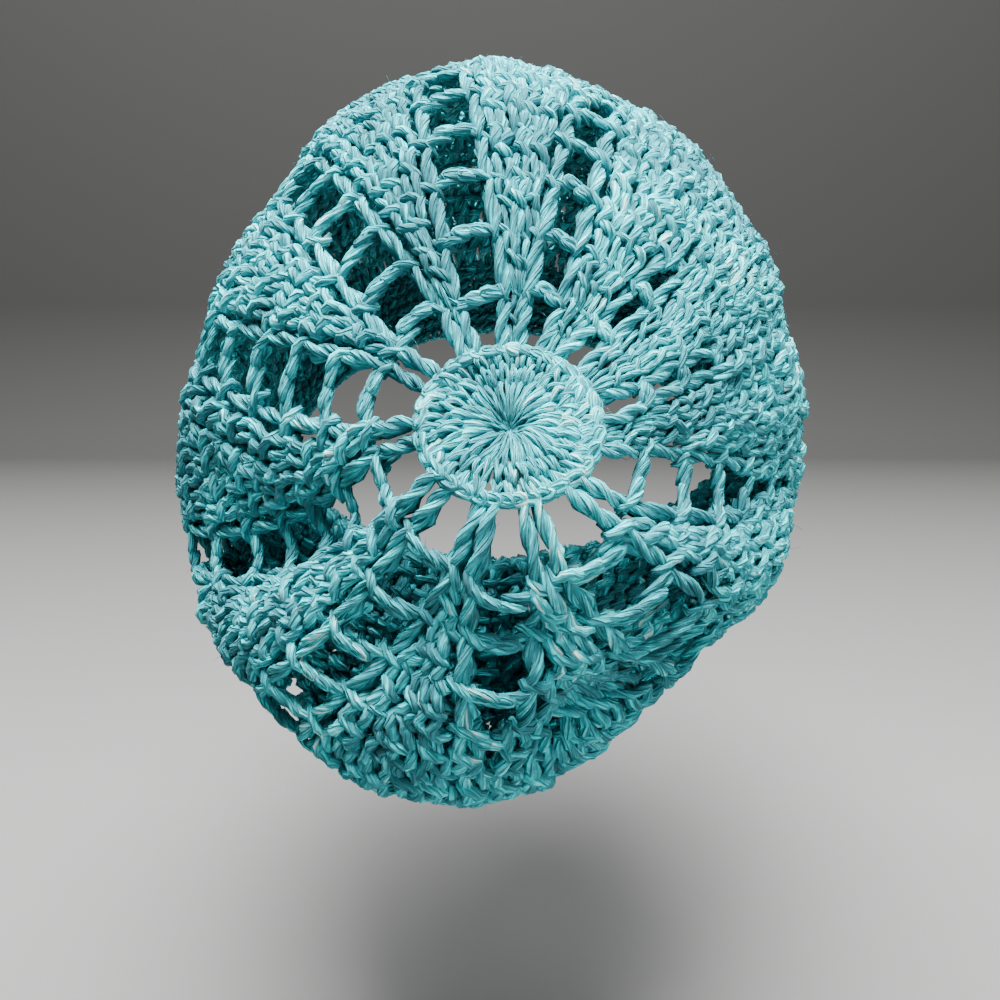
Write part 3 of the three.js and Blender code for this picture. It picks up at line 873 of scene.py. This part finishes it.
def mesh_round(yarn, n, fine):
    """A round of gores with a chain over each ladder."""
    counts, counts_below = gore_counts(n), gore_counts(n - 1)
    gore = np.repeat(np.arange(LADDERS), counts)
    k = np.concatenate([np.arange(count) for count in counts])
    count, below = counts[gore], counts_below[gore]
    top, room = gore_places(n, gore, (k + 0.5) / count)
    if n == DISC_ROUNDS + 1:
        base = gore + 0.5 + ((k + 0.5) / count - 0.5) * FIRST_SPREAD
        base_width = FIRST_SPREAD / count
    else:
        place = k * (below - 1) / np.maximum(count - 1, 1)
        place = (1 - FOOT_SNAP) * place + FOOT_SNAP * np.round(place)
        base, base_room = gore_places(n - 1, gore, (place + 0.5) / below)
        base_width = base_room / below * FOOT_SHARE
    jitter = yarn.settings.unevenness * PLACE_SPREAD * room / count
    base = base + yarn.random.normal(0, 1, len(base)) * jitter
    top = top + yarn.random.normal(0, 1, len(top)) * jitter
    stitches = stitch_row(yarn, n, base, top, base_width, room / count)
    open_gap = n <= np.minimum(GAP_SHUT + 1, ROPE_ROUNDS)
    at_gap = ((k == 0) & open_gap[gore]) | ((k == count - 1) & open_gap[(gore + 1) % LADDERS])
    double_stitches(yarn, chosen(stitches, ~at_gap), fine)
    if at_gap.any():
        double_stitches(yarn, chosen(stitches, at_gap), fine, False)
        lay_ropes(yarn, chosen(stitches, at_gap), FIRST_ROPE_TURNS if n == DISC_ROUNDS + 1 else ROPE_TURNS)
    chain_loops(yarn, n, fine)


def chain_loops(yarn, n, fine):
    """The chain over each ladder at the top of round n, bowing away from the disc."""
    settings = yarn.settings
    half = gap_halves(n)
    stitch_width = (1 - half - np.roll(half, -1)) / gore_counts(n)
    reach = np.repeat(half + CHAIN_TUCK * (stitch_width + np.roll(stitch_width, 1)) / 2, CHAIN_LINKS)
    share = np.tile((np.arange(CHAIN_LINKS) + 0.5) * 2 / CHAIN_LINKS - 1, LADDERS)
    middle = np.repeat(np.arange(LADDERS), CHAIN_LINKS)
    places = middle + share * reach
    bow = (1 - share**2) * np.repeat(yarn.random.normal(settings.chain_bow, BOW_SPREAD, LADDERS), CHAIN_LINKS)
    bow += share * np.repeat(yarn.random.normal(0, settings.chain_slant, LADDERS), CHAIN_LINKS)
    rounds = np.full(len(places), float(n))
    widths = reach * settings.link_length
    fineness = FINE_LINK if fine else PLAIN_LINK
    tones = round_tones(yarn, n, places)
    lay_links(yarn, places, rounds, widths, CHAIN_SPREAD, bow, fineness, tones, (middle, reach))


def plain_round(yarn, n):
    """A round of double stitches all the way round, without gaps."""
    double_stitches(yarn, closed_row(yarn, n, LADDERS * (GORE_MOST + 1), 0.5 * (n % 2)), n <= FINE_ROUNDS)


def band_row(yarn, row):
    """A row of single stitches in the head band."""
    height = (ROUNDS - CROWN_ROUNDS) / BAND_ROWS
    n = CROWN_ROUNDS + (row + 1) * height
    stitches = closed_row(yarn, n, LADDERS * BAND_STITCHES, 0.5 * (row % 2), height)
    for template in (SHORT_LEFT, SHORT_RIGHT, SHORT_LOOP):
        lay_strands(yarn, template, stitches, SHORT_STRAND)
    lay_strands(yarn, SHORT_BACK, stitches, HIDDEN_STRAND, SHORT_BACK_THICKNESS)


def disc_ring(yarn):
    """The stitches worked into the ring in the middle: pairs of strands from a small dark hole."""
    stitches = closed_row(yarn, 1, RING_STITCHES)
    stitches.update(lean=stitches["lean"] * 0, least=RING_FIT_LEAST, out=stitches["out"] * RING_OUT_SHARE)
    thickness = yarn.settings.disc_thickness
    for template in (RING_LEFT, RING_RIGHT):
        lay_strands(yarn, template, stitches, RING_STRAND, thickness)
    stitches.update(least=RING_UNDER_FIT_LEAST)
    lay_strands(yarn, RING_UNDER, stitches, RING_UNDER_STRAND, RING_UNDER_THICKNESS * thickness)


def disc_edge(yarn):
    """The heads of the disc's stitches and the chain round its edge."""
    count = DISC_EDGE_STITCHES
    stitches = closed_row(yarn, 1, count)
    stitches.update(lean=stitches["lean"] * EDGE_LEAN_SHARE)
    for template in (HEAD_LEFT, HEAD_RIGHT, EDGE_LEFT, EDGE_RIGHT):
        lay_strands(yarn, template, stitches, HEAD_STRAND)
    lay_strands(yarn, HEAD_UNDER, stitches, HEAD_UNDER_STRAND, HEAD_UNDER_THICKNESS, inside=True)
    places, widths, rounds = stitches["top"], stitches["top_width"], np.full(count, EDGE_ROUND)
    lay_links(yarn, places, rounds, widths, EDGE_SPREAD, np.zeros(count), FINE_LINK, stitches["tone"])


# Materials


class Wiring:
    """Adds nodes to a node tree and joins them, so that a material reads as a few lines."""

    def __init__(self, tree):
        self.nodes = tree.nodes
        self.links = tree.links

    def feed(self, socket, value):
        """Joins a node's output to a socket, or sets the socket to a constant."""
        if isinstance(value, bpy.types.NodeSocket):
            self.links.new(value, socket)
        elif value is not None:
            socket.default_value = value

    def add(self, kind, inputs=(), **settings):
        """A node with its settings set and its inputs fed, by name or by place."""
        node = self.nodes.new(kind)
        for name, value in settings.items():
            setattr(node, name, value)
        for name, value in dict(inputs).items():
            self.feed(node.inputs[name], value)
        return node

    def maths(self, operation, first, second=None, third=None):
        node = self.add("ShaderNodeMath", {0: first, 1: second, 2: third}, operation=operation)
        return node.outputs[0]

    def noise(self, place, scale, detail):
        node = self.add("ShaderNodeTexNoise", {"Vector": place, "Scale": scale, "Detail": detail})
        return node.outputs["Fac"]

    def place(self, x, y, z=0.0):
        return self.add("ShaderNodeCombineXYZ", {"X": x, "Y": y, "Z": z}).outputs[0]

    def centred(self, value):
        return self.maths("SUBTRACT", value, 0.5)

    def carried(self, value, start, stop=(0.0, 1.0)):
        """A value carried over from one range to another, and held there."""
        ranges = {"From Min": start[0], "From Max": start[1], "To Min": stop[0], "To Max": stop[1]}
        return self.add("ShaderNodeMapRange", {"Value": value, **ranges}).outputs["Result"]

    def blend(self, share, first, second):
        """The first colour passing into the second."""
        node = self.add("ShaderNodeMix", {"Factor": share, "A": first, "B": second}, data_type="RGBA")
        return node.outputs["Result"]


def opaque(colour):
    return (*colour, 1.0)


PLY_INPUTS = (("Plies", 8.0), ("Wander", 0.5), ("Change", 3.0))


def ply_group():
    """Shader group: the plies of a strand, from the strand's own map round and along it."""
    group = bpy.data.node_groups.new("yarn_plies", "ShaderNodeTree")
    for label, value in PLY_INPUTS:
        socket = group.interface.new_socket(label, in_out="INPUT", socket_type="NodeSocketFloat")
        socket.default_value = value
    for label in ("Crest", "Tone", "Fibre"):
        group.interface.new_socket(label, in_out="OUTPUT", socket_type="NodeSocketFloat")
    wiring = Wiring(group)
    enter, leave = wiring.add("NodeGroupInput"), wiring.add("NodeGroupOutput")
    on_strand = wiring.add("ShaderNodeUVMap", uv_map="yarn").outputs["UV"]
    split = wiring.add("ShaderNodeSeparateXYZ", {0: on_strand})
    round_strand = split.outputs["X"]
    run = wiring.maths("MULTIPLY", split.outputs["Y"], enter.outputs["Change"])
    turn = wiring.maths("MULTIPLY", round_strand, 2 * math.pi)
    ring = wiring.place(wiring.maths("COSINE", turn), wiring.maths("SINE", turn), run)
    wander = wiring.centred(wiring.noise(ring, WANDER_SCALE, 1.0))
    wander = wiring.maths("MULTIPLY", wander, enter.outputs["Wander"])
    place = wiring.maths("MULTIPLY_ADD", round_strand, enter.outputs["Plies"], wander)
    wave = wiring.maths("COSINE", wiring.maths("MULTIPLY", place, 2 * math.pi))
    wiring.feed(leave.inputs["Crest"], wiring.maths("MULTIPLY_ADD", wave, 0.5, 0.5))
    ply = wiring.maths("FLOORED_MODULO", wiring.maths("ROUND", place), enter.outputs["Plies"])
    own = wiring.place(wiring.maths("MULTIPLY", ply, PLY_APART), run)
    wiring.feed(leave.inputs["Tone"], wiring.noise(own, 1.0, 2.0))
    thread = wiring.place(wiring.maths("MULTIPLY", place, THREADS), run)
    wiring.feed(leave.inputs["Fibre"], wiring.noise(thread, 1.0, 2.0))
    return group


def yarn_material(name, settings, painted_light_shift, group):
    """Heathered cotton: plies of their own tones, painted shade in teal between the plies and the strands."""
    material = bpy.data.materials.new(name)
    material.use_nodes = True
    wiring = Wiring(material.node_tree)
    shader = material.node_tree.nodes["Principled BSDF"]
    shader.inputs["Roughness"].default_value = settings.roughness
    shader.inputs["Specular IOR Level"].default_value = YARN_SPECULAR
    shader.inputs["Sheen Weight"].default_value = settings.sheen
    shader.inputs["Sheen Roughness"].default_value = SHEEN_ROUGHNESS
    inputs = {"Plies": settings.plies, "Wander": settings.ply_wander, "Change": settings.ply_change}
    plies = wiring.add("ShaderNodeGroup", inputs, node_tree=group)
    whole = wiring.add("ShaderNodeTexCoord").outputs["Object"]
    layers = (
        (wiring.centred(plies.outputs["Tone"]), PLY_SHARE),
        (wiring.centred(plies.outputs["Fibre"]), FIBRE_SHARE),
        (wiring.add("ShaderNodeAttribute", attribute_name="tone").outputs["Fac"], STITCH_SHARE),
        (wiring.centred(wiring.noise(whole, PATCH_SCALE, 1.0)), PATCH_SHARE),
        (wiring.centred(wiring.noise(whole, GRAIN_SCALE, 1.0)), GRAIN_SHARE),
    )
    # Painted light and shade: the whole ramp moves lighter or darker for each piece
    tone = TONE_MIDDLE + painted_light_shift
    for value, share in layers:
        tone = wiring.maths("MULTIPLY_ADD", value, share, tone)
    ramp = wiring.add("ShaderNodeValToRGB", {"Fac": tone})
    colours = (settings.dusk, settings.middle, settings.pale, settings.bloom, settings.fleck)
    elements = ramp.color_ramp.elements
    while len(elements) < len(colours):
        elements.new(0.5)
    for element, position, colour in zip(elements, RAMP_PLACES, colours):
        element.position = position
        element.color = opaque(colour)
    # Painted shade: the colour passes into dark teal in the grooves between plies and where a strand lies low
    depth = wiring.add("ShaderNodeAttribute", attribute_name="depth").outputs["Fac"]
    groove = wiring.carried(plies.outputs["Crest"], CREST_RANGE, GROOVE_PAINTED_SHADES)
    painted_shade = wiring.maths("MULTIPLY", groove, wiring.carried(depth, DEPTH_RANGE, DEPTH_PAINTED_SHADES))
    colour = wiring.blend(painted_shade, opaque(settings.painted_shade_teal), ramp.outputs["Color"])
    wiring.feed(shader.inputs["Base Color"], colour)
    relief = {"Height": plies.outputs["Crest"], "Strength": 1.0, "Distance": settings.ply_relief}
    wiring.feed(shader.inputs["Normal"], wiring.add("ShaderNodeBump", relief).outputs["Normal"])
    return material


def shared_material(name, painted_light_shift):
    """The yarn material of that name, made where it isn't there yet."""
    settings = bpy.context.scene.hat_yarn
    group = bpy.data.node_groups.get("yarn_plies") or ply_group()
    return bpy.data.materials.get(name) or yarn_material(name, settings, painted_light_shift, group)


# Settings


class HatYarnSettings(bpy.types.PropertyGroup):
    yarn_radius: bpy.props.FloatProperty(
        name="Yarn radius", description="Half the thickness of the yarn", default=0.00126, unit="LENGTH"
    )
    stitch_room: bpy.props.FloatProperty(
        name="Stitch room",
        description="Width of a stitch that yarn fills at its full thickness",
        default=0.0048,
        unit="LENGTH",
    )
    link_thickness: bpy.props.FloatProperty(
        name="Link thickness", description="Thickness of the strands in chains, against the yarn", default=0.9
    )
    twist_length: bpy.props.FloatProperty(
        name="Twist length", description="Millimetres of yarn for one turn of its plies", default=22.0
    )
    ply_depth: bpy.props.FloatProperty(
        name="Ply depth", description="How far the plies stand out, against the radius", default=0.03
    )
    end_taper: bpy.props.FloatProperty(
        name="End taper", description="Thickness of a strand's hidden ends, against the yarn", default=0.5
    )
    link_length: bpy.props.FloatProperty(
        name="Link length", description="Length of a chain's links, against half its gap", default=0.78
    )
    least_link: bpy.props.FloatProperty(
        name="Least link", description="Shortest link of a chain", default=0.0026, unit="LENGTH"
    )
    rope_reach: bpy.props.FloatProperty(
        name="Rope reach",
        description="Distance of a post's strands from its middle, against their radius",
        default=0.68,
    )
    disc_thickness: bpy.props.FloatProperty(
        name="Disc thickness",
        description="Thickness of the strands in the disc, against the yarn",
        default=1.05,
    )
    # Painted shade: this height sets how dark the strands inside are painted; fibres grow only on higher
    # strands
    inside_height: bpy.props.FloatProperty(
        name="Inside height", description="Height at which the strands inside count as lying", default=0.3
    )
    relief: bpy.props.FloatProperty(
        name="Relief", description="How far the stitches stand out of the fabric", default=0.92
    )
    unevenness: bpy.props.FloatProperty(
        name="Unevenness", description="How unlike each other the hand-worked stitches are", default=1.0
    )
    lean: bpy.props.FloatProperty(
        name="Lean", description="How far a stitch leans, in stitch widths", default=0.15
    )
    chain_bow: bpy.props.FloatProperty(
        name="Chain bow", description="How far a chain bows over its gap, in rounds", default=0.12
    )
    chain_slant: bpy.props.FloatProperty(
        name="Chain slant", description="How far the ends of a chain stand unevenly, in rounds", default=0.05
    )
    tone_wave: bpy.props.FloatProperty(
        name="Tone wave", description="Slow colour change along the yarn", default=0.7
    )
    tone_spread: bpy.props.FloatProperty(
        name="Tone spread", description="Colour difference from stitch to stitch", default=0.35
    )
    map_per_mm: bpy.props.FloatProperty(
        name="Map per millimetre",
        description="Length on the strand map for a millimetre of yarn",
        default=0.02,
    )
    plies: bpy.props.FloatProperty(name="Plies", description="Plies round a strand", default=6.0)
    ply_wander: bpy.props.FloatProperty(
        name="Ply wander", description="How far the plies wander round the strand, in plies", default=1.3
    )
    ply_change: bpy.props.FloatProperty(
        name="Ply change", description="How fast a ply changes its tone along the strand", default=6.0
    )
    ply_relief: bpy.props.FloatProperty(
        name="Ply relief",
        description="Height of the plies on a strand",
        default=0.0005,
        unit="LENGTH",
        precision=5,
    )
    roughness: bpy.props.FloatProperty(name="Roughness", description="Roughness of the cotton", default=0.75)
    sheen: bpy.props.FloatProperty(name="Sheen", description="Soft shine of the fibres", default=0.05)
    seed: bpy.props.IntProperty(name="Seed", description="Start of the random draws", default=7)
    # Painted shade: the dark teal that the yarn passes into between the plies and down in the fabric
    painted_shade_teal: bpy.props.FloatVectorProperty(
        name="Deep teal",
        description="Colour down between the plies",
        subtype="COLOR",
        default=(0.02, 0.20, 0.24),
    )
    dusk: bpy.props.FloatVectorProperty(
        name="Dusk teal", description="Darker ply", subtype="COLOR", default=(0.03, 0.21, 0.245)
    )
    middle: bpy.props.FloatVectorProperty(
        name="Middle teal", description="Main colour", subtype="COLOR", default=(0.05, 0.40, 0.45)
    )
    pale: bpy.props.FloatVectorProperty(
        name="Pale aqua", description="Lighter ply", subtype="COLOR", default=(0.014, 0.73, 0.79)
    )
    bloom: bpy.props.FloatVectorProperty(
        name="Bloom", description="Lightest dyed ply", subtype="COLOR", default=(0.094, 0.93, 0.98)
    )
    fleck: bpy.props.FloatVectorProperty(
        name="Fleck", description="Undyed streaks", subtype="COLOR", default=(0.533, 0.95, 0.93)
    )


class HatStageSettings(bpy.types.PropertyGroup):
    floor_size: bpy.props.FloatProperty(
        name="Floor size", description="Width of the floor", default=8.0, unit="LENGTH"
    )
    floor_colour: bpy.props.FloatVectorProperty(
        name="Floor colour", description="Pale floor", subtype="COLOR", default=(0.26, 0.26, 0.256)
    )
    # Painted shade: the floor's colour darkened at the foot of the wall
    far_painted_shade: bpy.props.FloatVectorProperty(
        name="Far colour",
        description="Floor at the foot of the wall",
        subtype="COLOR",
        default=(0.045, 0.045, 0.044),
    )
    wall_colour: bpy.props.FloatVectorProperty(
        name="Wall colour",
        description="Wall behind the floor",
        subtype="COLOR",
        default=(0.022, 0.022, 0.0215),
    )
    ceiling_power: bpy.props.FloatProperty(
        name="Ceiling light", description="Power of the wide soft light overhead", default=104.0
    )
    key_power: bpy.props.FloatProperty(name="Key light", description="Power of the key light", default=35.0)
    fill_power: bpy.props.FloatProperty(name="Fill light", description="Power of the fill light", default=2.0)
    world_strength: bpy.props.FloatProperty(
        name="Sky", description="Strength of the even light from all round", default=0.04
    )


# Operators


class HAT_OT_disc(bpy.types.Operator):
    """Work the close disc that the rounds start from"""

    bl_idname = "crochet_hat.disc"
    bl_label = "Centre disc"

    def execute(self, context):
        yarn = Yarn("disc_stitches", context.scene.hat_yarn, 1)
        disc_ring(yarn)
        disc_edge(yarn)
        yarn.add_fuzz(DISC_FUZZ)
        yarn.build(shared_material("disc_yarn", DISC_PAINTED_LIGHT), "centre_disc")
        return {"FINISHED"}


class HAT_OT_mesh_rounds(bpy.types.Operator):
    """Work the gores and the ladders of chain loops between them"""

    bl_idname = "crochet_hat.mesh_rounds"
    bl_label = "Mesh rounds"

    def execute(self, context):
        for seed, (name, first, last) in enumerate(MESH_PIECES, 2):
            yarn = Yarn(name, context.scene.hat_yarn, seed)
            for n in range(first, last + 1):
                mesh_round(yarn, n, n <= FINE_ROUNDS)
            yarn.add_fuzz(MESH_FUZZ)
            yarn.build(shared_material("crown_yarn", 0.0), "mesh_crown")
        return {"FINISHED"}


class HAT_OT_plain_rounds(bpy.types.Operator):
    """Work the plain rounds of the lower crown"""

    bl_idname = "crochet_hat.plain_rounds"
    bl_label = "Plain rounds"

    def execute(self, context):
        for seed, (name, first, last) in enumerate(PLAIN_PIECES, 5):
            yarn = Yarn(name, context.scene.hat_yarn, seed)
            for n in range(first, last + 1):
                plain_round(yarn, n)
            yarn.add_fuzz(PLAIN_FUZZ)
            yarn.build(shared_material("lower_yarn", 0.0), "lower_crown")
        return {"FINISHED"}


class HAT_OT_band(bpy.types.Operator):
    """Work the close band of single stitches round the opening"""

    bl_idname = "crochet_hat.band"
    bl_label = "Head band"

    def execute(self, context):
        yarn = Yarn("band_stitches", context.scene.hat_yarn, 7)
        for row in range(BAND_ROWS):
            band_row(yarn, row)
        yarn.build(shared_material("band_yarn", BAND_PAINTED_SHADE), "head_band")
        return {"FINISHED"}


class HAT_OT_stage(bpy.types.Operator):
    """Set up the pale floor, the soft light and the camera"""

    bl_idname = "crochet_hat.stage"
    bl_label = "Stage"

    def execute(self, context):
        make_floor(context.scene.hat_stage)
        make_lights(context.scene.hat_stage)
        make_camera()
        return {"FINISHED"}


def select_edges(obj, wanted):
    """In edit mode, selects the edges whose two ends both lie in a wanted place, and no others."""
    sheet = bmesh.from_edit_mesh(obj.data)
    for edge in sheet.edges:
        edge.select = all(wanted(vertex.co) for vertex in edge.verts)
    sheet.select_flush_mode()
    bmesh.update_edit_mesh(obj.data)


def floor_material(settings):
    """Pale floor paint with painted shade, darker towards the wall, and the wall's own colour up its foot."""
    material = bpy.data.materials.new("floor_paint")
    material.use_nodes = True
    shader = material.node_tree.nodes["Principled BSDF"]
    shader.inputs["Roughness"].default_value = FLOOR_ROUGHNESS
    shader.inputs["Specular IOR Level"].default_value = FLOOR_SPECULAR
    wiring = Wiring(material.node_tree)
    place = wiring.add("ShaderNodeTexCoord").outputs["Object"]
    split = wiring.add("ShaderNodeSeparateXYZ", {0: place})
    # Painted shade: the floor darkens from its pale colour towards the wall
    away = wiring.carried(split.outputs["Y"], (PAINTED_SHADE_FROM, WALL_PLACE - WALL_FOOT))
    risen = wiring.carried(split.outputs["Z"], (-FLOOR_BELOW, WALL_FOOT - FLOOR_BELOW))
    floor_paint = wiring.blend(away, opaque(settings.floor_colour), opaque(settings.far_painted_shade))
    wiring.feed(shader.inputs["Base Color"], wiring.blend(risen, floor_paint, opaque(settings.wall_colour)))
    return material


def make_floor(settings):
    """A wide floor that turns up into a wall behind the hat."""
    size = settings.floor_size
    bpy.ops.object.select_all(action="DESELECT")
    bpy.ops.mesh.primitive_plane_add(size=size, location=(0, WALL_PLACE - size / 2, -FLOOR_BELOW))
    floor = bpy.context.object
    floor.name = "floor"
    bpy.ops.object.mode_set(mode="EDIT")
    select_edges(floor, lambda place: place.y > 0)
    bpy.ops.mesh.extrude_edges_move(TRANSFORM_OT_translate={"value": (0, 0, WALL_HEIGHT)})
    select_edges(floor, lambda place: place.y > 0 and abs(place.z) < TINY)
    bpy.ops.mesh.bevel(offset=WALL_FOOT, segments=FOOT_SEGMENTS, affect="EDGES")
    bpy.ops.object.mode_set(mode="OBJECT")
    bpy.ops.object.shade_smooth()
    bpy.ops.object.transform_apply(location=True, rotation=True, scale=True)
    floor.data.materials.append(floor_material(settings))


def make_lights(settings):
    """Even light from all round and three soft panels."""
    world = bpy.data.worlds.new("soft_room")
    bpy.context.scene.world = world
    world.use_nodes = True
    sky = world.node_tree.nodes["Background"]
    sky.inputs["Color"].default_value = SKY_COLOUR
    sky.inputs["Strength"].default_value = settings.world_strength
    for name, place, size, power in LIGHTS:
        bpy.ops.object.light_add(type="AREA", location=place)
        lamp = bpy.context.object
        lamp.name = name
        lamp.data.size = size
        lamp.data.energy = getattr(settings, power)
        lamp.rotation_euler = (LIGHT_AIM - Vector(place)).to_track_quat("-Z", "Y").to_euler()


def make_camera():
    """The camera at the photo's viewing angle."""
    bpy.ops.object.camera_add(location=CAMERA_PLACE, rotation=(math.radians(90 - CAMERA_PITCH), 0, 0))
    camera = bpy.context.object
    camera.name = "camera"
    camera.data.sensor_width = SENSOR_WIDTH
    camera.data.lens = SENSOR_WIDTH * FOCAL_PIXELS / FRAME_PIXELS
    camera.data.clip_start = NEAR_CLIP
    bpy.context.scene.camera = camera


class HAT_PT_panel(bpy.types.Panel):
    """Sizes, colours and steps of the crochet hat"""

    bl_idname = "HAT_PT_panel"
    bl_label = "Crochet Hat"
    bl_space_type = "VIEW_3D"
    bl_region_type = "UI"
    bl_category = "Crochet Hat"

    def draw(self, context):
        layout = self.layout
        for settings in (context.scene.hat_yarn, context.scene.hat_stage):
            box = layout.box()
            for name in settings.__annotations__:
                box.prop(settings, name)
        for operator in OPERATORS:
            layout.operator(operator.bl_idname)


OPERATORS = (HAT_OT_disc, HAT_OT_mesh_rounds, HAT_OT_plain_rounds, HAT_OT_band, HAT_OT_stage)
CLASSES = (HatYarnSettings, HatStageSettings, *OPERATORS, HAT_PT_panel)


def register():
    for cls in CLASSES:
        bpy.utils.register_class(cls)
    bpy.types.Scene.hat_yarn = bpy.props.PointerProperty(type=HatYarnSettings)
    bpy.types.Scene.hat_stage = bpy.props.PointerProperty(type=HatStageSettings)


def unregister():
    del bpy.types.Scene.hat_stage
    del bpy.types.Scene.hat_yarn
    for cls in reversed(CLASSES):
        bpy.utils.unregister_class(cls)


def main():
    register()
    bpy.ops.crochet_hat.disc()
    bpy.ops.crochet_hat.mesh_rounds()
    bpy.ops.crochet_hat.plain_rounds()
    bpy.ops.crochet_hat.band()
    bpy.ops.crochet_hat.stage()


if __name__ == "__main__":
    main()
